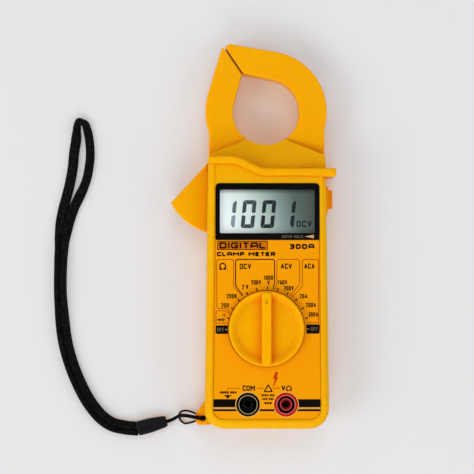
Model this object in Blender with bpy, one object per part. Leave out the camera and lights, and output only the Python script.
"""Clamp meter lying on its back, modelled piece by piece.

Frame: +Z leaves the display face, +Y runs towards the jaw tips, +X is to the right as the
face is read. The origin is on the flat back, on the case's centre line, level with the lower
edge of the display window. All sizes below are in millimetres; meshes are made in metres.
"""

import math

import bpy
from mathutils import Matrix, Vector

MM = 0.001
GAP = 0.3  # clearance between two pieces that don't move on each other
RUN = 0.4  # clearance around a piece that moves
CORNER_STEPS = 5  # straight pieces in each rounded corner

# ---------------------------------------------------------------- case
CASE_BOTTOM = -96.3
CASE_HALF_BOTTOM = 31.4  # half the width at the bottom end
CASE_HALF_TOP = 29.6  # half the width at the finger guard
CASE_CORNER = 10.0
CASE_WALL = 2.0
GUARD_LEFT = 40.65  # the finger guard's upper edge, left of the S-curve
GUARD_RIGHT = 34.5  # and right of it
GUARD_BEND_LEFT = -18.3  # where the S-curve starts and ends along X
GUARD_BEND_RIGHT = -0.15
PART_LINE = 15.0  # height of the joint between rear and front case
FACE = 31.0  # height of the front face
RIM_FOOT = 3.75  # from the case's edge to the foot of the rounded rim
RIM_FOOT_SIDE = 4.35  # at the bottom corners, from the side
RIM_FOOT_END = 5.2  # and from the bottom end
RIM = [(0.0, 27.6), (0.08, 29.1), (0.22, 30.4), (0.42, 31.35), (0.65, 31.75), (0.85, 31.55), (1.0, FACE)]
FRONT_WALL = 28.8  # underside of the front wall
LABEL_SEAT = 30.65
LENS_SEAT = 29.3
REAR_FLOOR = 2.2
BACK_EDGE = [(2.4, 0.0), (1.0, 0.45), (0.25, 1.5), (0.0, 3.2)]
BACK_PLATE_TOP = 56.0  # the rear case runs on behind the jaws to here
BACK_PLATE_THICK = 3.7
TAB = [(27.5, 30.2, 0.0), (34.6, 30.2, 0.8), (34.6, GUARD_RIGHT, 0.8), (27.5, GUARD_RIGHT, 0.0)]
TAB_TOP = [(0.0, PART_LINE + 0.1), (0.0, 31.6), (0.3, 32.4), (0.9, 33.0), (1.4, 33.1)]
BEAD_INSET = 2.0  # from the guard's edge to the middle of its raised bead
BEAD = [(1.95, 28.0), (1.95, 31.6), (1.7, 32.4), (1.15, 32.95), (0.6, 33.1)]  # half width and height
REAR_RECESS = (-20.0, 20.0, -34.0, -8.0)  # shallow field for the rear label

# ---------------------------------------------------------------- jaws
WINDOW_X, WINDOW_Y = -0.3, 63.4  # centre of the round conductor window
WINDOW_R = 16.9
JAW_R = 30.8  # outer radius of the jaws
JAW_LOW, JAW_HIGH = 4.2, 19.9
JAW_MIDDLE = 12.0  # joint between the halves of a jaw shell
JAW_ROOT_X = 29.3  # outer edge of both jaws where they enter the case
JAW_EDGE = 0.8
TIP_INNER = (-12.3, 82.7)  # the seam between the jaw tips runs between these two points
TIP_OUTER = (-21.2, 95.75)
SEAM_GAP = 0.8
SPLIT_ANGLE = 250.0  # the lower seam, round the window's centre
CORE_R = (WINDOW_R + JAW_R) / 2
CORE_HALF = 3.0
CORE_LOW, CORE_HIGH = 8.0, 16.0
TONGUE_LOW = 20.3  # underside of the front case's tongue, which covers the jaw roots
TONGUE_TOP = [(32.0, 28.9), (50.0, 20.9)]  # its top falls between these two (y, z) points
JAW_SCREW = (-24.2, 41.2)

# ---------------------------------------------------------------- lever and pivot
PIVOT = (-21.4, 31.8)
HUB_R = 6.2
PIN_R = 2.0
PIN_HOLE_R = 2.35
TRIGGER_R = 30.9
TRIGGER_LOW, TRIGGER_HIGH = 5.2, 18.8
TRIGGER_TIP = (-48.75, 17.3)
TRIGGER_SHOULDER = (-46.7, 19.3)
TRIGGER_TOP = (-29.6, 37.95)
TRIGGER_END_ANGLE = 272.0
SLOT_BOTTOM = 0.5

# ---------------------------------------------------------------- display, label
DISPLAY_TOP = 27.0
DISPLAY_BOTTOM = -1.35
DISPLAY_LEFT, DISPLAY_RIGHT = -25.8, 26.3
LENS_GAP = 0.15
VIEW_HALF = 24.2
VIEW_LOW, VIEW_HIGH = 1.9, 23.8
LABEL_BOTTOM = -91.2
LABEL_HALF_BOTTOM = 27.0
LABEL_CORNER = 4.7

# ---------------------------------------------------------------- selector
KNOB = (-0.25, -45.8)
KNOB_R = 19.0
KNOB_POCKET_R = 19.3
KNOB_POCKET_FLOOR = 29.6
SHAFT_R = 5.0
ROTOR_R = 14.0
DETENT_RING = (15.6, 17.2)
DETENT_NOTCH_R = 16.2
DETENTS = 24
PCB_LOW, PCB_HIGH = 21.4, 23.0

# ---------------------------------------------------------------- jacks, button, battery
JACKS = {"com": -9.5, "volt": 9.5}
JACK_Y = -83.8
JACK_R = 5.8
JACK_TOP = 31.6
JACK_LOW = 14.0
BUTTON_Y = (14.15, 23.6)
BUTTON_Z = (16.8, 22.4)
BUTTON_IN, BUTTON_OUT = 26.7, 33.15
BUTTON_BOSS = [(28.2, 8.4), (30.2, 10.6), (31.0, 13.9), (31.0, 24.1), (29.6, 26.65), (28.2, 26.65)]
BATTERY = ((-21.0, 27.0), (-76.0, -49.5), (2.9, 20.4))
COVER = [(-26.5, -78.5, 2.0), (26.5, -78.5, 2.0), (26.5, -47.0, 2.0), (8.0, -47.0, 2.0),
         (5.0, -39.0, 2.0), (-5.0, -39.0, 2.0), (-8.0, -47.0, 2.0), (-26.5, -47.0, 2.0)]
COVER_SCREW = (0.0, -43.0)
CASE_SCREWS = [(-24.5, -89.0), (24.5, -89.0), (-25.3, -14.0), (25.3, -14.0), (20.5, 33.4)]
PCB_SCREWS = [(-19.0, -24.0), (19.0, -24.0)]
LUG = [(-27.5, -82.5, 0.0), (-31.2, -83.5, 1.0), (-36.2, -91.0, 2.5), (-36.2, -96.6, 2.4), (-24.0, -96.0, 0.0)]
LUG_LOW, LUG_HIGH = 3.0, 8.5
LUG_HOLE = (-32.4, -93.0)
LUG_HOLE_R = 1.6

# ---------------------------------------------------------------- wrist strap
STRAP_R = 1.5
STRAP_Z = 2.4
STRAP_PITCH = 3.4  # between the two runs where they lie together
STRING_R = 0.45
FERRULE_LEFT = (-66.3, -98.9)
FERRULE_RIGHT = (-51.4, -95.0)
STRAP_DOUBLED = [(-67.6, -98.9), (-72.4, -98.4), (-78.5, -97.1), (-83.0, -94.6), (-87.1, -90.8),
                 (-92.0, -84.2), (-96.4, -75.9), (-100.4, -66.0), (-103.5, -55.0), (-105.2, -42.9),
                 (-106.1, -31.0), (-106.2, -21.0), (-105.8, -11.0), (-105.2, -3.0)]
STRAP_LOOP = [(-106.6, 6.7), (-105.2, 15.0), (-103.7, 20.5), (-101.8, 27.4), (-100.3, 35.6), (-99.7, 43.9),
              (-98.9, 49.5), (-98.0, 54.5), (-96.6, 58.3), (-94.4, 58.5), (-92.5, 55.5), (-91.3, 50.5),
              (-90.8, 44.0), (-91.0, 39.0), (-92.2, 31.5), (-94.0, 26.0), (-96.6, 20.7), (-99.1, 15.0),
              (-101.6, 6.7)]
STRING_ROUTE = [(-51.0, -94.6, 3.0), (-48.0, -93.6, 3.3), (-44.6, -91.6, 5.0), (-41.0, -91.3, 7.6),
                (-37.6, -91.9, 9.5), (-34.6, -92.5, 9.5), (-32.9, -92.7, 8.4), (-32.5, -92.8, 6.0),
                (-32.5, -92.8, 3.6), (-33.2, -92.5, 1.7), (-35.6, -91.6, 1.3), (-38.4, -90.4, 1.6),
                (-41.2, -89.7, 1.7), (-43.6, -90.1, 1.5), (-44.9, -91.8, 1.0)]
STRING_BACK = [(-44.4, -94.4, 1.0), (-42.2, -96.3, 1.2), (-39.4, -96.0, 1.5), (-36.4, -95.0, 1.4),
               (-33.6, -94.0, 1.6), (-32.3, -93.9, 3.4), (-32.2, -93.9, 6.0), (-32.8, -93.8, 8.4),
               (-34.6, -93.6, 9.5), (-37.6, -93.0, 9.5), (-41.2, -92.5, 7.6), (-44.9, -92.9, 5.0),
               (-48.2, -94.8, 3.3), (-51.0, -95.7, 3.0)]


# ================================================================ outlines
def case_half(y):
    """Half the case's width at height y up the face."""
    share = (y - CASE_BOTTOM) / (GUARD_RIGHT - CASE_BOTTOM)
    return CASE_HALF_BOTTOM + share * (CASE_HALF_TOP - CASE_HALF_BOTTOM)


def polar(centre, radius, degrees):
    angle = math.radians(degrees)
    return centre[0] + radius * math.cos(angle), centre[1] + radius * math.sin(angle)


def arc(centre, radius, start, end, steps):
    """Points on an arc from start to end, in degrees."""
    return [polar(centre, radius, start + (end - start) * i / steps) for i in range(steps + 1)]


def shrink(corners, distance):
    """An anticlockwise outline of (x, y, radius) corners moved inwards by a distance."""
    moved = []
    for i, (x, y, radius) in enumerate(corners):
        before = Vector(corners[i - 1][:2])
        after = Vector(corners[(i + 1) % len(corners)][:2])
        here = Vector((x, y))
        one = (here - before).normalized()
        two = (after - here).normalized()
        n1 = Vector((-one.y, one.x))
        n2 = Vector((-two.y, two.x))
        at = here + (n1 + n2) * (distance / (1 + n1.dot(n2)))
        left = max(radius - distance, 0.05) if radius else 0.0
        moved.append((at.x, at.y, left))
    return moved


def rounded(corners, steps=CORNER_STEPS):
    """The points of an outline of (x, y, radius) corners, each radius drawn as an arc."""
    outline = []
    for i, (x, y, radius) in enumerate(corners):
        here = Vector((x, y))
        if not radius:
            outline.append((x, y))
            continue
        back = (Vector(corners[i - 1][:2]) - here).normalized()
        ahead = (Vector(corners[(i + 1) % len(corners)][:2]) - here).normalized()
        half = back.angle(ahead) / 2
        start = here + back * (radius / math.tan(half))
        end = here + ahead * (radius / math.tan(half))
        middle = here + (back + ahead).normalized() * (radius / math.sin(half))
        first = math.atan2(*(start - middle).yx)
        turn = math.atan2(*(end - middle).yx) - first
        turn = (turn + math.pi) % (2 * math.pi) - math.pi
        outline += [
            (middle.x + radius * math.cos(first + turn * k / steps),
             middle.y + radius * math.sin(first + turn * k / steps))
            for k in range(steps + 1)
        ]
    return outline


def sharp(points):
    """Plain points as corners with no radius."""
    return [(x, y, 0.0) for x, y in points]


def ribbon(line, half):
    """The outline of a band of constant width along a line of points."""
    sides = ([], [])
    for i, point in enumerate(line):
        along = Vector(line[min(i + 1, len(line) - 1)]) - Vector(line[max(i - 1, 0)])
        normal = Vector((-along.y, along.x)).normalized() * half
        sides[0].append((point[0] - normal.x, point[1] - normal.y))
        sides[1].append((point[0] + normal.x, point[1] + normal.y))
    return sides[0] + sides[1][::-1]


def box_outline(x_low, x_high, y_low, y_high, radius=0.0):
    return [(x_low, y_low, radius), (x_high, y_low, radius), (x_high, y_high, radius), (x_low, y_high, radius)]


def guard_curve(steps=8):
    """The finger guard's S-curve, from its right end to its left one."""
    points = []
    for i in range(steps + 1):
        share = i / steps
        x = GUARD_BEND_RIGHT + share * (GUARD_BEND_LEFT - GUARD_BEND_RIGHT)
        rise = (1 - math.cos(math.pi * share)) / 2
        points.append((x, GUARD_RIGHT + rise * (GUARD_LEFT - GUARD_RIGHT)))
    return points


def front_corners():
    """The front case's outline: straight sides, round lower corners and the guard's S-curve on top."""
    return (
        [(-CASE_HALF_BOTTOM, CASE_BOTTOM, CASE_CORNER), (CASE_HALF_BOTTOM, CASE_BOTTOM, CASE_CORNER),
         (case_half(GUARD_RIGHT), GUARD_RIGHT, 0.8)]
        + sharp(guard_curve())
        + [(-case_half(GUARD_LEFT), GUARD_LEFT, 0.8)]
    )


def rear_corners(top):
    return [(-CASE_HALF_BOTTOM, CASE_BOTTOM, CASE_CORNER), (CASE_HALF_BOTTOM, CASE_BOTTOM, CASE_CORNER),
            (case_half(top), top, 1.5), (-case_half(top), top, 1.5)]


def label_corners():
    return [(-LABEL_HALF_BOTTOM, LABEL_BOTTOM, LABEL_CORNER), (LABEL_HALF_BOTTOM, LABEL_BOTTOM, LABEL_CORNER),
            (DISPLAY_RIGHT, DISPLAY_TOP, 2.5), (DISPLAY_LEFT, DISPLAY_TOP, 2.5)]


def tongue_outline():
    """The tongue over the jaw roots: a low roof whose ridge is cut away by the window."""
    window = (WINDOW_X, WINDOW_Y)
    return (
        [(-case_half(GUARD_LEFT) + 0.2, 33.0), (case_half(GUARD_RIGHT) - 0.1, 33.0),
         (case_half(GUARD_LEFT) - 0.1, 41.1)]
        + arc(window, WINDOW_R, -55.6, -124.4, 10)
        + [(-case_half(GUARD_LEFT) + 0.2, 41.5)]
    )


def seam(side, offset=0.0):
    """The two ends of the tip seam's face on the fixed (+1) or moving (-1) jaw, inner end first."""
    inner, outer = Vector(TIP_INNER), Vector(TIP_OUTER)
    along = (outer - inner).normalized()
    across = Vector((along.y, -along.x)) * (side * SEAM_GAP / 2 + offset)
    return tuple(inner + across), tuple(outer + across)


def fixed_jaw_outline():
    window = (WINDOW_X, WINDOW_Y)
    inner, outer = seam(+1)
    start = -math.degrees(math.acos((JAW_ROOT_X - WINDOW_X) / JAW_R))
    split = SPLIT_ANGLE - 360 + 0.6
    return (
        arc(window, JAW_R, start, 78.3, 20)
        + [(-18.5, 97.75), (-20.1, 97.3), (-20.9, 96.45), outer, inner]
        + arc(window, WINDOW_R, 80.4, split, 26)
        + [polar(window, 28.4, split), (-8.4, 29.6), (26.7, 29.6), (26.7, 40.3), (JAW_ROOT_X, 41.4)]
    )


def moving_jaw_outline():
    window = (WINDOW_X, WINDOW_Y)
    inner, outer = seam(-1)
    split = SPLIT_ANGLE - 0.6
    end = 360 - math.degrees(math.acos((-JAW_ROOT_X - WINDOW_X) / JAW_R))
    return (
        [outer, (-22.75, 95.85)]
        + arc(window, JAW_R, 163.1, end, 6)
        + [(-JAW_ROOT_X, PIVOT[1] + 2.0)]
        + arc(PIVOT, HUB_R, 185, 330, 8)
        + [polar(window, 28.4, split)]
        + arc(window, WINDOW_R, split, 162.3, 12)
        + [inner]
    )


def core_line(side):
    """The middle of the laminated core: straight from the tip seam, then round to the lower seam."""
    window = (WINDOW_X, WINDOW_Y)
    middle = (Vector(TIP_INNER) + Vector(TIP_OUTER)) / 2
    if side > 0:
        line = arc(window, CORE_R, 79.0, SPLIT_ANGLE - 360, 22)
    else:
        line = arc(window, CORE_R, 163.0, SPLIT_ANGLE, 11)
    start = Vector(line[0])
    beyond = middle + (middle - start).normalized() * 4.0
    after = Vector(line[-1]) + (Vector(line[-1]) - Vector(line[-2])).normalized() * 1.5
    return [tuple(beyond)] + line + [tuple(after)]


def trigger_outline():
    """The lever's wing: a straight upper edge, and an arc round the pivot below."""
    tip_angle = 360 + math.degrees(math.atan2(TRIGGER_TIP[1] - PIVOT[1], TRIGGER_TIP[0] - PIVOT[0]))
    return (
        [TRIGGER_TOP, TRIGGER_SHOULDER]
        + arc(PIVOT, TRIGGER_R, tip_angle, TRIGGER_END_ANGLE, 12)
        + arc(PIVOT, HUB_R + GAP, 296, 188, 8)
        + [(TRIGGER_TOP[0], PIVOT[1] + 2.0)]
    )


def lever_tongue_outline(extra=0.0):
    """The lever's thin root, held between the halves of the moving jaw."""
    return arc(PIVOT, 5.7 + extra, 285, 560, 18) + arc(PIVOT, 9.0 + extra, 200, 285, 6)


def detent_outline():
    """The detent ring's inner side: notches all round, one for each knob position and as many below."""
    points = []
    pitch = 360 / DETENTS
    for i in range(DETENTS):
        points += [polar(KNOB, DETENT_RING[0], pitch * (i - 0.3)), polar(KNOB, DETENT_NOTCH_R, pitch * i),
                   polar(KNOB, DETENT_RING[0], pitch * (i + 0.3))]
    return points


# ================================================================ solids
def fresh_scene():
    for obj in list(bpy.data.objects):
        bpy.data.objects.remove(obj)


def material(name, colour, roughness, metallic=0.0):
    found = bpy.data.materials.new(name)
    found.use_nodes = True
    shader = found.node_tree.nodes["Principled BSDF"]
    shader.inputs["Base Color"].default_value = (*colour, 1.0)
    shader.inputs["Roughness"].default_value = roughness
    shader.inputs["Metallic"].default_value = metallic
    found.diffuse_color = (*colour, 1.0)
    return found


def solid(name, points, faces, look=None, smooth=False):
    """An object made from points in millimetres."""
    mesh = bpy.data.meshes.new(name)
    mesh.from_pydata([tuple(c * MM for c in p) for p in points], [], faces)
    mesh.update()
    obj = bpy.data.objects.new(name, mesh)
    bpy.context.scene.collection.objects.link(obj)
    if look is not None:
        mesh.materials.append(look)
    if smooth:
        mesh.shade_smooth()
        mesh.set_sharp_from_angle(angle=math.radians(35))
    return obj


def loft(name, layers, look=None, smooth=False):
    """A solid through (outline, height) layers from the bottom up, each outline with as many points."""
    count = len(layers[0][0])
    points = [(x, y, z) for outline, z in layers for x, y in outline]
    faces = [tuple(range(count))[::-1]]
    for level in range(len(layers) - 1):
        low, high = level * count, (level + 1) * count
        faces += [
            (low + i, low + (i + 1) % count, high + (i + 1) % count, high + i) for i in range(count)
        ]
    last = (len(layers) - 1) * count
    faces.append(tuple(range(last, last + count)))
    return solid(name, points, faces, look, smooth)


def slab(name, outline, low, high, look=None, smooth=False):
    return loft(name, [(outline, low), (outline, high)], look, smooth)


def eased_slab(name, outline, low, high, edge, look=None):
    """A slab whose upper and lower edges have a small bevel."""
    inner = rounded(shrink(sharp(outline), edge))
    return loft(name, [(inner, low), (outline, low + edge), (outline, high - edge), (inner, high)], look, True)


def box(name, x, y, z, look=None, radius=0.0):
    return slab(name, rounded(box_outline(*x, *y, radius)), *z, look)


def turned(name, profile, centre, steps, look=None, smooth=True):
    """A closed (radius, height) profile, anticlockwise, turned round a vertical axis."""
    points, rings, faces = [], [], []
    for radius, height in profile:
        if radius < 1e-6:
            points.append((centre[0], centre[1], height))
            rings.append([len(points) - 1] * steps)
            continue
        rings.append([len(points) + k for k in range(steps)])
        points += [(*polar(centre, radius, 360 * k / steps), height) for k in range(steps)]
    for i, ring in enumerate(rings):
        after = rings[(i + 1) % len(rings)]
        for k in range(steps):
            n = (k + 1) % steps
            face = list(dict.fromkeys((ring[k], ring[n], after[n], after[k])))
            if len(face) > 2:
                faces.append(tuple(face))
    return solid(name, points, faces, look, smooth)


def disc(name, centre, radius, low, high, steps=20, look=None):
    return slab(name, arc(centre, radius, 0, 360 - 360 / steps, steps - 1), low, high, look)


def lie_along(obj, start, direction):
    """Turns a solid made along +Z to start at a point and run in a direction, baked into its mesh."""
    turn = Vector((0, 0, 1)).rotation_difference(Vector(direction)).to_matrix().to_4x4()
    obj.data.transform(Matrix.Translation(Vector(start) * MM) @ turn)
    return obj


def coil(name, radius, wire, height, turns, look, around=10, sides=6):
    """A helical spring along +Z from the origin, as one closed tube."""
    steps = int(turns * around)
    points, faces = [], []
    for i in range(steps + 1):
        angle = 360 * turns * i / steps
        for k in range(sides):
            swing = 2 * math.pi * k / sides
            x, y = polar((0, 0), radius + wire * math.cos(swing), angle)
            points.append((x, y, height * i / steps + wire * math.sin(swing)))
    for i in range(steps):
        for k in range(sides):
            n = (k + 1) % sides
            faces.append((i * sides + k, (i + 1) * sides + k, (i + 1) * sides + n, i * sides + n))
    faces.append(tuple(range(sides)))
    faces.append(tuple(steps * sides + k for k in range(sides))[::-1])
    return solid(name, points, faces, look, True)


def tube(name, route, radius, look, resolution):
    """A cord: a round tube of a POLY curve through points in millimetres."""
    curve = bpy.data.curves.new(name, "CURVE")
    curve.dimensions = "3D"
    curve.bevel_depth = radius * MM
    curve.bevel_resolution = resolution
    curve.use_fill_caps = True
    spline = curve.splines.new("POLY")
    spline.points.add(len(route) - 1)
    for point, place in zip(spline.points, route, strict=True):
        point.co = (*(c * MM for c in place), 1.0)
    obj = bpy.data.objects.new(name, curve)
    bpy.context.scene.collection.objects.link(obj)
    curve.materials.append(look)
    return obj


def smooth_line(points, step):
    """Points a step apart on a smooth curve through a route's own points."""
    route = [Vector(p) for p in points]
    padded = [2 * route[0] - route[1]] + route + [2 * route[-1] - route[-2]]
    fine = []
    for a, b, c, d in zip(padded, padded[1:], padded[2:], padded[3:]):
        for k in range(12):
            t = k / 12
            fine.append(0.5 * (2 * b + (c - a) * t + (2 * a - 5 * b + 4 * c - d) * t * t
                               + (3 * b - a - 3 * c + d) * t ** 3))
    fine.append(route[-1])
    along = [0.0]
    for one, two in zip(fine, fine[1:]):
        along.append(along[-1] + (two - one).length)
    count = max(2, round(along[-1] / step))
    spaced, i = [], 0
    for k in range(count + 1):
        want = along[-1] * k / count
        while i < len(fine) - 2 and along[i + 1] < want:
            i += 1
        share = (want - along[i]) / (along[i + 1] - along[i])
        spaced.append(fine[i].lerp(fine[i + 1], min(share, 1.0)))
    return spaced


def helper(tool):
    tool.hide_render = True
    tool.display_type = "WIRE"
    return tool


def change(obj, tool, operation):
    modifier = obj.modifiers.new(tool.name, "BOOLEAN")
    modifier.operation = operation
    modifier.solver = "EXACT"
    modifier.object = helper(tool)


def cut(obj, *tools):
    for tool in tools:
        change(obj, tool, "DIFFERENCE")


def fuse(obj, *tools):
    for tool in tools:
        change(obj, tool, "UNION")


def joint_axis(name, place):
    """An empty on a joint's axis, for the pieces that move with it."""
    empty = bpy.data.objects.new(name, None)
    empty.location = Vector(place) * MM
    bpy.context.scene.collection.objects.link(empty)
    return empty


def move_with(empty, *pieces):
    """Hangs pieces on a joint's empty, each with its own origin on the joint's axis."""
    for piece in pieces:
        piece.data.transform(Matrix.Translation(-empty.location))
        piece.parent = empty


# ================================================================ case
def guard_bead():
    """The raised bead along the guard's S-curve, with rounded shoulders."""
    right, left = case_half(GUARD_RIGHT) - 0.1, 0.1 - case_half(GUARD_LEFT)
    edge = [(right, GUARD_RIGHT), *guard_curve(), (left, GUARD_LEFT)]
    line = [(x, y - BEAD_INSET) for x, y in edge]
    return loft("tool_guard_bead", [(ribbon(line, half), height) for half, height in BEAD])


def tongue():
    """The tongue over the jaw roots, its top falling from the guard to the window."""
    made = slab("tool_tongue", tongue_outline(), TONGUE_LOW, TONGUE_TOP[0][1])
    side = [*TONGUE_TOP, (TONGUE_TOP[1][0], 40.0), (TONGUE_TOP[0][0], 40.0)]
    points = [(x, y, z) for x in (-40.0, 40.0) for y, z in side]
    faces = [(3, 2, 1, 0), (4, 5, 6, 7)] + [(i, (i + 1) % 4, 4 + (i + 1) % 4, 4 + i) for i in range(4)]
    cut(made, solid("tool_above_tongue", points, faces))
    return made


def rim_line(corners, share):
    """The case's outline, moved in by a share of the way to the rim's foot."""
    line = []
    for x, y, radius in shrink(corners, share * RIM_FOOT):
        if y < LABEL_BOTTOM:
            x -= math.copysign(share * (RIM_FOOT_SIDE - RIM_FOOT), x)
            y += share * (RIM_FOOT_END - RIM_FOOT)
        line.append((x, y, radius))
    return line


def front_case(look):
    corners = front_corners()
    layers = [(rounded(corners), PART_LINE + GAP / 3)]
    layers += [(rounded(rim_line(corners, share)), height) for share, height in RIM]
    case = loft("front_case", layers, look, True)
    tab = [(rounded(shrink(TAB, inset)), height) for inset, height in TAB_TOP]
    fuse(case, loft("tool_front_tab", tab), guard_bead(),
         slab("tool_front_boss", BUTTON_BOSS, PART_LINE + GAP / 3, 26.5))
    inner = rounded(shrink(corners, CASE_WALL))
    cut(case, slab("tool_front_cavity", inner, PART_LINE - 1, FRONT_WALL))
    fuse(case, tongue())
    fuse(case, slab("tool_detent_ring", arc(KNOB, DETENT_RING[1], 0, 345, 23), 24.6, FRONT_WALL + 0.5))
    cut(case, slab("tool_detent_notches", detent_outline(), 24.0, FRONT_WALL))
    for i, place in enumerate(CASE_SCREWS):
        low = TONGUE_LOW if place[1] > 0 else PART_LINE + GAP / 3
        fuse(case, disc(f"tool_front_screw_boss_{i}", place, 3.0, low, FRONT_WALL + 0.5, 14))
        cut(case, disc(f"tool_front_screw_hole_{i}", place, 1.6, low - 1, 26.0, 10))
    for i, place in enumerate(PCB_SCREWS):
        fuse(case, disc(f"tool_pcb_boss_{i}", place, 2.6, PCB_HIGH + GAP, FRONT_WALL + 0.5, 12))
        cut(case, disc(f"tool_pcb_hole_{i}", place, 1.3, PCB_HIGH, 27.6, 10))
    fuse(case, disc("tool_front_pivot_boss", PIVOT, 4.4, TONGUE_LOW, FRONT_WALL + 0.5, 16))
    cut(case, disc("tool_front_pivot_hole", PIVOT, PIN_HOLE_R, TONGUE_LOW - 1, 25.0, 16),
        slab("tool_label_pocket", rounded(label_corners()), LABEL_SEAT, FACE + 2),
        box("tool_lens_pocket", (DISPLAY_LEFT, DISPLAY_RIGHT), (DISPLAY_BOTTOM, DISPLAY_TOP),
            (LENS_SEAT, FACE + 2), radius=2.0),
        box("tool_view_opening", (-VIEW_HALF, VIEW_HALF), (VIEW_LOW, VIEW_HIGH), (FRONT_WALL - 1, FACE)),
        disc("tool_knob_pocket", KNOB, KNOB_POCKET_R, KNOB_POCKET_FLOOR, FACE + 2, 32),
        disc("tool_shaft_hole", KNOB, SHAFT_R + RUN, FRONT_WALL - 1, FACE, 24),
        box("tool_front_slot", (-40.0, -25.5), (SLOT_BOTTOM, 60.0), (PART_LINE - 1, TONGUE_LOW)),
        box("tool_front_mouth", (-27.0, 27.1), (30.0, 60.0), (PART_LINE - 1, TONGUE_LOW)),
        box("tool_button_hole", (26.0, 40.0), (BUTTON_Y[0] - RUN, BUTTON_Y[1] + RUN),
            (BUTTON_Z[0] - RUN, BUTTON_Z[1] + RUN)))
    for side, x in JACKS.items():
        cut(case, disc(f"tool_jack_hole_{side}", (x, JACK_Y), JACK_R + GAP, FRONT_WALL - 1, FACE + 2, 24))
    return case


def rear_case(look):
    corners = rear_corners(BACK_PLATE_TOP)
    layers = [(rounded(shrink(corners, inset)), height) for inset, height in BACK_EDGE]
    case = loft("rear_case", [*layers, (rounded(corners), PART_LINE)], look, True)
    fuse(case, slab("tool_rear_tab", rounded(TAB), 1.2, PART_LINE),
         slab("tool_rear_boss", BUTTON_BOSS, 4.0, PART_LINE),
         slab("tool_lug", rounded(LUG), LUG_LOW, LUG_HIGH))
    inner = rounded(shrink(rear_corners(33.0), CASE_WALL))
    cut(case, slab("tool_rear_cavity", inner, REAR_FLOOR, PART_LINE + 1),
        box("tool_rear_mouth", (-27.0, 27.1), (28.0, 40.0), (REAR_FLOOR + 1.5, PART_LINE + 1)),
        box("tool_above_plate", (-40.0, 40.0), (GUARD_RIGHT, 70.0), (BACK_PLATE_THICK, PART_LINE + 1)),
        box("tool_rear_slot", (-40.0, -25.5), (SLOT_BOTTOM, 60.0), (BACK_PLATE_THICK, PART_LINE + 1)),
        disc("tool_window", (WINDOW_X, WINDOW_Y), WINDOW_R + 0.5, -1, 10, 40),
        disc("tool_lug_hole", LUG_HOLE, LUG_HOLE_R, 0.0, 12.0, 14),
        slab("tool_cover_rebate", rounded(shrink(COVER, -GAP)), -1.0, 1.5),
        slab("tool_rear_recess", rounded(box_outline(*REAR_RECESS, 2.0)), -1.0, 0.3),
        box("tool_battery_opening", (-25.0, 25.0), (-77.0, -48.5), (-1.0, REAR_FLOOR + 1), radius=1.5))
    for i, place in enumerate(CASE_SCREWS):
        top = PART_LINE if place[1] < 0 else BACK_PLATE_THICK
        head = 6.0 if place[1] < 0 else 2.0
        fuse(case, disc(f"tool_rear_screw_boss_{i}", place, 3.7, 1.0, top, 14))
        cut(case, disc(f"tool_rear_head_{i}", place, 2.75, -1.0, head, 14),
            disc(f"tool_rear_screw_hole_{i}", place, 1.6, -1.0, top + 1, 10))
    fuse(case, disc("tool_rear_pivot_boss", PIVOT, 4.4, 1.0, 3.9, 16),
         disc("tool_cover_boss", COVER_SCREW, 3.2, 1.5, 8.0, 14),
         box("tool_spring_post", (-1.6, 0.6), (7.0, 17.0), (1.5, 14.0)))
    cut(case, disc("tool_rear_pivot_hole", PIVOT, PIN_HOLE_R, 1.2, 5.0, 16),
        disc("tool_cover_hole", COVER_SCREW, 1.5, 0.0, 7.0, 10))
    return case


def battery_cover(look):
    cover = slab("battery_cover", rounded(COVER), GAP, 1.2, look)
    fuse(cover, box("tool_cover_inner", (-24.6, 24.6), (-76.6, -48.9), (0.9, REAR_FLOOR), radius=1.2))
    ribs = [box(f"tool_cover_grip_{i}", (-8.0, 8.0), (-76.0 + 2.0 * i, -75.2 + 2.0 * i), (0.0, 0.6))
            for i in range(4)]
    cut(cover, disc("tool_cover_head", COVER_SCREW, 2.6, 0.0, 0.85, 14),
        disc("tool_cover_screw_hole", COVER_SCREW, 1.5, -1.0, 3.0, 10), *ribs)
    return cover


def screw(name, place, head_low, head_high, tip, look, head_r=2.3, shank_r=1.15):
    """A pan-head screw driven upwards, with a cross recess in its head."""
    thick = head_high - head_low
    profile = [(0, head_low), (head_r * 0.8, head_low), (head_r, head_low + thick * 0.3), (head_r, head_high),
               (shank_r, head_high), (shank_r, tip - 1.0), (0, tip)]
    made = turned(name, profile, place, 12, look)
    x, y = place
    deep = head_low + thick * 0.6
    cut(made, box(f"tool_{name}_cross_x", (x - 1.3, x + 1.3), (y - 0.3, y + 0.3), (head_low - 1, deep)),
        box(f"tool_{name}_cross_y", (x - 0.3, x + 0.3), (y - 1.3, y + 1.3), (head_low - 1, deep)))
    return made


# ================================================================ display and electronics
def face_label(look):
    """The printed overlay: a thin sheet round the knob and jacks, below the display window."""
    corners = shrink(label_corners(), 0.2)
    corners[2] = (corners[2][0] - 0.1, DISPLAY_BOTTOM - 0.25, 0.2)
    corners[3] = (corners[3][0] + 0.1, DISPLAY_BOTTOM - 0.25, 0.2)
    label = slab("face_label", rounded(corners), LABEL_SEAT + 0.1, FACE + 0.05, look)
    cut(label, disc("tool_label_knob", KNOB, KNOB_POCKET_R + 0.1, 30.0, 32.0, 48))
    for side, x in JACKS.items():
        cut(label, disc(f"tool_label_jack_{side}", (x, JACK_Y), JACK_R + GAP + 0.1, 30.0, 32.0, 32))
    return label


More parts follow.
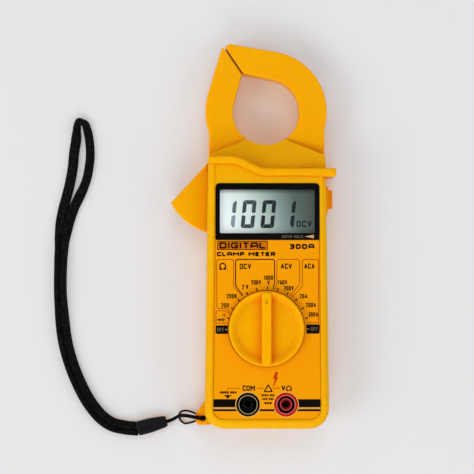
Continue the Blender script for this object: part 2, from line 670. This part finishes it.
def display(looks):
    """The lens in the front wall, the LCD glass behind it, the glass's holder and the elastomer strip."""
    around = box_outline(DISPLAY_LEFT + LENS_GAP, DISPLAY_RIGHT - LENS_GAP, DISPLAY_BOTTOM + LENS_GAP,
                         DISPLAY_TOP - LENS_GAP, 1.9)
    lens = slab("display_lens", rounded(around), LENS_SEAT + 0.1, FACE + 0.05, looks["lens"])
    glass = box("lcd_glass", (-25.0, 25.0), (0.2, 25.6), (26.3, 28.5), looks["lcd"])
    holder = box("lcd_holder", (-26.0, 26.0), (-1.6, 27.4), (PCB_HIGH + GAP, 28.5), looks["black"])
    cut(holder, box("tool_holder_seat", (-25.3, 25.3), (-0.1, 25.9), (26.0, 30.0)),
        box("tool_holder_strip", (-23.6, 23.6), (1.0, 4.4), (20.0, 30.0)),
        box("tool_holder_light", (-22.0, 22.0), (6.4, 24.0), (20.0, 30.0)))
    strip = box("zebra_strip", (-23.3, 23.3), (1.3, 4.1), (PCB_HIGH + GAP, 26.0), looks["rubber"])
    return [lens, glass, holder, strip]


def circuit_board(looks):
    corners = [(-23.0, -92.2, 4.0), (23.0, -92.2, 4.0), (24.5, -80.0, 0.0), (24.5, 27.4, 1.0), (-24.5, 27.4, 1.0),
               (-24.5, -80.0, 0.0)]
    board = slab("main_pcb", rounded(corners), PCB_LOW, PCB_HIGH, looks["pcb"])
    cut(board, disc("tool_board_shaft", KNOB, SHAFT_R + 0.8, 20.0, 25.0, 20))
    for i, place in enumerate(CASE_SCREWS[:4]):
        cut(board, disc(f"tool_board_notch_{i}", place, 3.8, 20.0, 25.0, 16))
    for i, place in enumerate(PCB_SCREWS):
        cut(board, disc(f"tool_board_screw_{i}", place, 1.5, 20.0, 25.0, 10))
    for side, x in JACKS.items():
        cut(board, disc(f"tool_board_jack_{side}", (x, JACK_Y), JACK_R + GAP, 20.0, 25.0, 20))
    below = PCB_LOW - 0.2
    chip = box("main_chip", (-6.0, 6.0), (-30.0, -18.0), (below - 1.6, below), looks["chip"], 0.5)
    buzzer = disc("buzzer", (12.0, -8.0), 7.0, below - 2.8, below, 24, looks["brass"])
    trimmer = box("trim_pot", (-14.0, -8.0), (-14.0, -8.0), (below - 2.2, below), looks["black"], 0.4)
    crystal = box("crystal", (-3.5, 3.5), (-13.0, -10.0), (below - 2.4, below), looks["steel"], 1.4)
    barrel = [(0, 0), (1.1, 0), (1.1, 8.0), (0, 8.0)]
    resistor = turned("divider_resistor", barrel, (0, 0), 12, looks["copper"])
    lie_along(resistor, (-20.0, -38.0, below - 1.4), (0, 1, 0))
    switch = box("hold_switch", (20.6, BUTTON_IN - 1.1), (15.9, 21.9), (17.4, below), looks["black"])
    return [board, chip, buzzer, trimmer, crystal, resistor, switch]


# ================================================================ selector
def selector(looks):
    """The knob outside, and its rotor with wipers, detent balls and springs behind the front wall."""
    profile = [(0, 23.7), (3.4, 23.7), (3.4, 24.7), (SHAFT_R, 24.7), (SHAFT_R, 29.9), (KNOB_R, 29.9),
               (KNOB_R, 33.6), (18.7, 34.9), (18.1, 35.3), (17.4, 35.0), (14.4, 32.65), (14.1, 32.65),
               (13.7, 32.6), (13.3, 32.4), (0, 32.7)]
    knob = turned("selector_knob", profile, KNOB, 40, looks["knob"])
    x, y = KNOB
    bar = rounded(box_outline(x - 2.45, x + 2.45, y - 18.3, y + 18.3, 1.6))
    slim = rounded(box_outline(x - 2.15, x + 2.15, y - 18.0, y + 18.0, 1.4))
    crown = rounded(box_outline(x - 1.7, x + 1.7, y - 17.5, y + 17.5, 1.2))
    fuse(knob, loft("tool_knob_bar", [(bar, 31.0), (bar, 35.6), (slim, 36.15), (crown, 36.4)]))
    rotor = turned("selector_rotor", [(SHAFT_R + GAP, 25.0), (ROTOR_R, 25.0), (ROTOR_R, 28.4),
                   (SHAFT_R + GAP, 28.4)], KNOB, 32, looks["black"])
    pieces = [knob, rotor]
    for i, side in enumerate((-1, 1), start=1):
        start = x + side * 8.6
        bore = turned(f"tool_ball_bore_{i}", [(0, 0), (1.35, 0), (1.35, 8.0), (0, 8.0)], (0, 0), 12)
        cut(rotor, lie_along(bore, (start, y, 26.7), (side, 0, 0)))
        spring = coil(f"detent_spring_{i}", 0.75, 0.2, 3.4, 4, looks["steel"], around=8, sides=5)
        lie_along(spring, (start + side * 0.4, y, 26.7), (side, 0, 0))
        ring = [(1.1 * math.cos(a), 1.1 * math.sin(a)) for a in (math.radians(d) for d in range(-90, 91, 30))]
        ball = turned(f"detent_ball_{i}", [(max(r, 0.0), h) for r, h in ring], (0, 0), 12, looks["steel"])
        lie_along(ball, (x + side * 14.0, y, 26.7), (side, 0, 0))
        low, high = (60.0, 120.0) if side > 0 else (240.0, 300.0)
        strip = ribbon(arc(KNOB, 10.5, low, high, 8), 1.4)
        gap = ribbon(arc(KNOB, 10.5, low + 10, high - 10, 8), 2.0)
        wiper = slab(f"wiper_contact_{i}", strip, 23.4, 24.7, looks["copper"])
        cut(wiper, slab(f"tool_wiper_gap_{i}", gap, 23.0, 24.3))
        pieces += [spring, ball, wiper]
    washer = [(3.75, 23.85), (7.2, 23.85), (7.2, 24.55), (3.75, 24.55)]
    clip = turned("knob_clip", washer, KNOB, 20, looks["steel"])
    cut(clip, box("tool_clip_gap", (x - 2.5, x + 2.5), (y, y + 10), (23.0, 25.0)))
    return [*pieces, clip]


# ================================================================ jacks, button, battery
def jack(side, x, looks):
    sleeve = [(0, JACK_LOW), (JACK_R, JACK_LOW), (JACK_R, JACK_TOP - 0.4), (JACK_R - 0.4, JACK_TOP),
              (4.9, JACK_TOP), (4.7, JACK_TOP - 0.3), (4.7, 16.5), (3.1, 16.5), (3.1, 30.6), (2.05, 30.6),
              (2.05, 28.1), (2.6, 28.1), (2.6, 15.2), (0, 15.2)]
    contact = [(2.0, 15.6), (2.35, 15.6), (2.35, 27.8), (2.0, 27.8)]
    return [turned(f"jack_{side}_sleeve", sleeve, (x, JACK_Y), 24, looks["jack_" + side]),
            turned(f"jack_{side}_contact", contact, (x, JACK_Y), 16, looks["brass"])]


def hold_button(look):
    button = slab("hold_button", rounded(box_outline(BUTTON_IN, BUTTON_OUT, *BUTTON_Y, 0.5)), *BUTTON_Z, look)
    flange_y = (BUTTON_Y[0] - 1.0, BUTTON_Y[1] + 1.0)
    flange_z = (BUTTON_Z[0] - 0.6, BUTTON_Z[1] + 0.6)
    fuse(button, box("tool_button_flange", (BUTTON_IN - 0.2, BUTTON_IN + 0.7), flange_y, flange_z))
    return button


def battery(looks):
    (x0, x1), ys, zs = BATTERY
    cell = box("battery", (x0, x1), ys, zs, looks["battery"], 2.0)
    snap = box("battery_snap", (x0 - 5.6, x0 - GAP), (ys[0] + 1.0, ys[1] - 1.0), (zs[0] + 1.5, zs[1] - 1.5),
               looks["rubber"], 1.0)
    return [cell, snap]


# ================================================================ jaws and lever
def jaw_shells(name, outline, line, looks, pocket=None):
    """Both halves of a jaw shell, hollowed along the core."""
    halves = []
    edge = JAW_EDGE
    inner = [(x, y) for x, y, _ in shrink(sharp(outline), edge * 0.7)]
    slim = [(x, y) for x, y, _ in shrink(sharp(outline), edge * 0.2)]
    front = [(outline, JAW_MIDDLE + GAP / 3), (outline, JAW_HIGH - edge), (slim, JAW_HIGH - edge * 0.3),
             (inner, JAW_HIGH)]
    rear = [(inner, JAW_LOW), (slim, JAW_LOW + edge * 0.3), (outline, JAW_LOW + edge), (outline, JAW_MIDDLE)]
    for half, layers in (("front", front), ("rear", rear)):
        shell = loft(f"{name}_{half}_shell", layers, looks["jaw"], True)
        channel = ribbon(line, CORE_HALF + GAP)
        cut(shell, slab(f"tool_{name}_{half}_core", channel, CORE_LOW - GAP, CORE_HIGH + GAP))
        if pocket:
            cut(shell, slab(f"tool_{name}_{half}_coil", pocket, JAW_MIDDLE - 6.4, JAW_MIDDLE + 6.4))
        halves.append(shell)
    return halves


def core(name, side, look):
    """Laminated core, its ends cut along both seams."""
    made = slab(name, ribbon(core_line(side), CORE_HALF), CORE_LOW, CORE_HIGH, look)
    inner, outer = (Vector(p) for p in seam(side, side * 0.1))
    along = (outer - inner).normalized() * 20
    across = Vector((along.y, -along.x)) * -side
    tip = [inner - along, outer + along, outer + along + across, inner - along + across]
    split = SPLIT_ANGLE + side * 1.0
    far = [polar((WINDOW_X, WINDOW_Y), r, split + turn) for r, turn in
           ((8, 0), (40, 0), (40, -side * 25), (8, -side * 25))]
    ends = [[tuple(p) for p in tip], far]
    for i, outline in enumerate(ends):
        area = sum(a[0] * b[1] - b[0] * a[1] for a, b in zip(outline, outline[1:] + outline[:1]))
        cut(made, slab(f"tool_{name}_end_{i}", outline if area > 0 else outline[::-1], 0.0, 30.0))
    return made


def sense_coil(looks):
    """The winding on its bobbin, round the fixed core's lower leg."""
    window = (WINDOW_X, WINDOW_Y)

    def sector(low, high, half):
        return ribbon(arc(window, CORE_R, low, high, 6), half)

    bobbin = slab("coil_bobbin", sector(-62, -98, 4.0), JAW_MIDDLE - 5.0, JAW_MIDDLE + 5.0, looks["black"])
    fuse(bobbin, slab("tool_bobbin_flange_a", sector(-61, -64, 5.0), JAW_MIDDLE - 6.0, JAW_MIDDLE + 6.0),
         slab("tool_bobbin_flange_b", sector(-96, -99, 5.0), JAW_MIDDLE - 6.0, JAW_MIDDLE + 6.0))
    winding = slab("coil_winding", sector(-65, -95, 4.9), JAW_MIDDLE - 5.9, JAW_MIDDLE + 5.9, looks["copper"])
    cut(bobbin, slab("tool_bobbin_bore", sector(-50, -110, CORE_HALF + GAP), CORE_LOW - GAP, CORE_HIGH + GAP))
    cut(winding, slab("tool_winding_bore", sector(-50, -110, 4.2), JAW_MIDDLE - 5.2, JAW_MIDDLE + 5.2))
    return [bobbin, winding]


def fixed_jaw(looks):
    pocket = ribbon(arc((WINDOW_X, WINDOW_Y), CORE_R, -60, -100, 6), 5.4)
    shells = jaw_shells("fixed_jaw", fixed_jaw_outline(), core_line(+1), looks, pocket)
    for i, shell in enumerate(shells):
        cut(shell, disc(f"tool_fixed_jaw_screw_{i}", CASE_SCREWS[4], 1.6, 0.0, 25.0, 10))
    return [*shells, core("fixed_jaw_core", +1, looks["steel"]), *sense_coil(looks)]


def moving_jaw(looks):
    shells = jaw_shells("moving_jaw", moving_jaw_outline(), core_line(-1), looks)
    for i, shell in enumerate(shells):
        cut(shell, slab(f"tool_lever_seat_{i}", lever_tongue_outline(GAP), 9.1, 14.9),
            disc(f"tool_jaw_pin_{i}", PIVOT, PIN_HOLE_R, 0.0, 25.0, 16),
            disc(f"tool_jaw_screw_{i}", JAW_SCREW, 1.45, 0.0, 18.0, 10))
    cut(shells[1], disc("tool_jaw_screw_head", JAW_SCREW, 2.35, 0.0, 6.6, 14))
    return [*shells, core("moving_jaw_core", -1, looks["steel"]),
            screw("moving_jaw_screw", JAW_SCREW, 4.6, 6.3, 17.0, looks["steel"], head_r=2.0, shank_r=1.1)]


def trigger(look):
    """The lever's wing, and the thin root that the jaw's halves hold on the pin."""
    lever = eased_slab("trigger_lever", trigger_outline(), TRIGGER_LOW, TRIGGER_HIGH, 0.7, look)
    fuse(lever, slab("tool_lever_root", lever_tongue_outline(), 9.4, 14.6))
    cut(lever, disc("tool_lever_pin", PIVOT, PIN_HOLE_R, 0.0, 25.0, 16))
    return lever


def trigger_spring(look):
    """The return spring, from the lever's inner edge to the post on the rear case."""
    spring = coil("trigger_spring", 2.6, 0.4, 16.2, 7, look, around=10, sides=6)
    return lie_along(spring, (-18.9, 12.0, 9.5), (1, 0, 0))


# ================================================================ wrist strap
def strap_route():
    """Both runs of the strap side by side, and the open loop at its far end, as one line."""
    middle = [Vector(p) for p in STRAP_DOUBLED]
    left, right = [], []
    for i, point in enumerate(middle):
        along = middle[min(i + 1, len(middle) - 1)] - middle[max(i - 1, 0)]
        side = Vector((-along.y, along.x)).normalized() * STRAP_PITCH / 2
        left.append(point + side)
        right.append(point - side)
    flat = [tuple(p) for p in left] + STRAP_LOOP + [tuple(p) for p in right[::-1]]
    return [(x, y, STRAP_Z) for x, y in flat]


def ferrule(look):
    """The moulded crimp that holds both ends of the strap and the string: a block tapering to the right."""
    start, end = Vector(FERRULE_LEFT), Vector(FERRULE_RIGHT)
    length = (end - start).length
    layers = []
    sections = ((0.0, 3.3, 2.3), (0.8, 3.7, 2.7), (6.5, 3.7, 2.75), (length - 1.0, 2.9, 2.4), (length, 2.4, 2.0))
    for along, half_wide, half_tall in sections:
        section = rounded(box_outline(-half_tall, half_tall, -half_wide, half_wide, 1.2), 3)
        layers.append((section, along))
    block = loft("strap_ferrule", layers, look, True)
    angle = math.atan2(end.y - start.y, end.x - start.x)
    stand = Matrix.Rotation(math.radians(90), 4, "Y")
    place = Matrix.Translation(Vector((start.x, start.y, 2.85)) * MM) @ Matrix.Rotation(angle, 4, "Z") @ stand
    block.data.transform(place)
    return block


def wrist_strap(looks):
    strap = tube("wrist_strap", smooth_line(strap_route(), 5.0), STRAP_R, looks["strap"], 3)
    string = tube("strap_string", smooth_line(STRING_ROUTE + STRING_BACK, 1.7), STRING_R, looks["strap"], 2)
    return [ferrule(looks["ferrule"]), strap, string]


# ================================================================ assembly
def make_looks():
    return {
        "case": material("case_yellow", (0.93, 0.55, 0.03), 0.42),
        "jaw": material("jaw_yellow", (0.90, 0.50, 0.02), 0.40),
        "knob": material("knob_yellow", (0.93, 0.56, 0.03), 0.38),
        "label": material("label_orange", (0.92, 0.42, 0.02), 0.45),
        "lens": material("lens_black", (0.02, 0.02, 0.025), 0.15),
        "lcd": material("lcd_grey", (0.55, 0.62, 0.57), 0.25),
        "black": material("black_plastic", (0.03, 0.03, 0.03), 0.5),
        "rubber": material("dark_rubber", (0.08, 0.08, 0.09), 0.8),
        "pcb": material("board_green", (0.03, 0.22, 0.08), 0.45),
        "chip": material("chip_black", (0.04, 0.04, 0.045), 0.6),
        "brass": material("brass", (0.78, 0.60, 0.25), 0.3, 1.0),
        "copper": material("copper", (0.75, 0.36, 0.18), 0.35, 1.0),
        "steel": material("steel", (0.62, 0.62, 0.64), 0.35, 1.0),
        "jack_com": material("jack_black", (0.03, 0.03, 0.03), 0.4),
        "jack_volt": material("jack_red", (0.62, 0.02, 0.02), 0.4),
        "battery": material("battery_grey", (0.35, 0.36, 0.38), 0.4, 0.6),
        "strap": material("strap_black", (0.015, 0.015, 0.017), 0.85),
        "ferrule": material("ferrule_black", (0.025, 0.026, 0.03), 0.45),
    }


def main():
    fresh_scene()
    looks = make_looks()
    front_case(looks["case"])
    rear_case(looks["case"])
    cover = battery_cover(looks["case"])
    cover_screw = screw("battery_cover_screw", COVER_SCREW, 0.1, 0.75, 6.4, looks["steel"], 2.2, 1.1)
    for i, place in enumerate(CASE_SCREWS, start=1):
        head = 6.0 if place[1] < 0 else 2.0
        screw(f"case_screw_{i}", place, head - 2.3 if place[1] < 0 else 0.3, head - GAP, 25.0, looks["steel"])
    for i, place in enumerate(PCB_SCREWS, start=1):
        screw(f"pcb_screw_{i}", place, PCB_LOW - 1.9, PCB_LOW - GAP, 27.0, looks["steel"], 2.2, 1.0)
    face_label(looks["label"])
    display(looks)
    circuit_board(looks)
    for side, x in JACKS.items():
        jack(side, x, looks)
    battery(looks)
    fixed_jaw(looks)
    disc("pivot_pin", PIVOT, PIN_R, 1.5, 24.6, 16, looks["steel"])
    trigger_spring(looks["steel"])
    wrist_strap(looks)
    move_with(joint_axis("jaw_axis", (*PIVOT, 0)), *moving_jaw(looks), trigger(looks["jaw"]))
    move_with(joint_axis("knob_axis", (*KNOB, 0)), *selector(looks))
    move_with(joint_axis("button_axis", (BUTTON_OUT, sum(BUTTON_Y) / 2, sum(BUTTON_Z) / 2)),
              hold_button(looks["knob"]))
    move_with(joint_axis("cover_axis", (*COVER_SCREW, 0)), cover, cover_screw)


main()
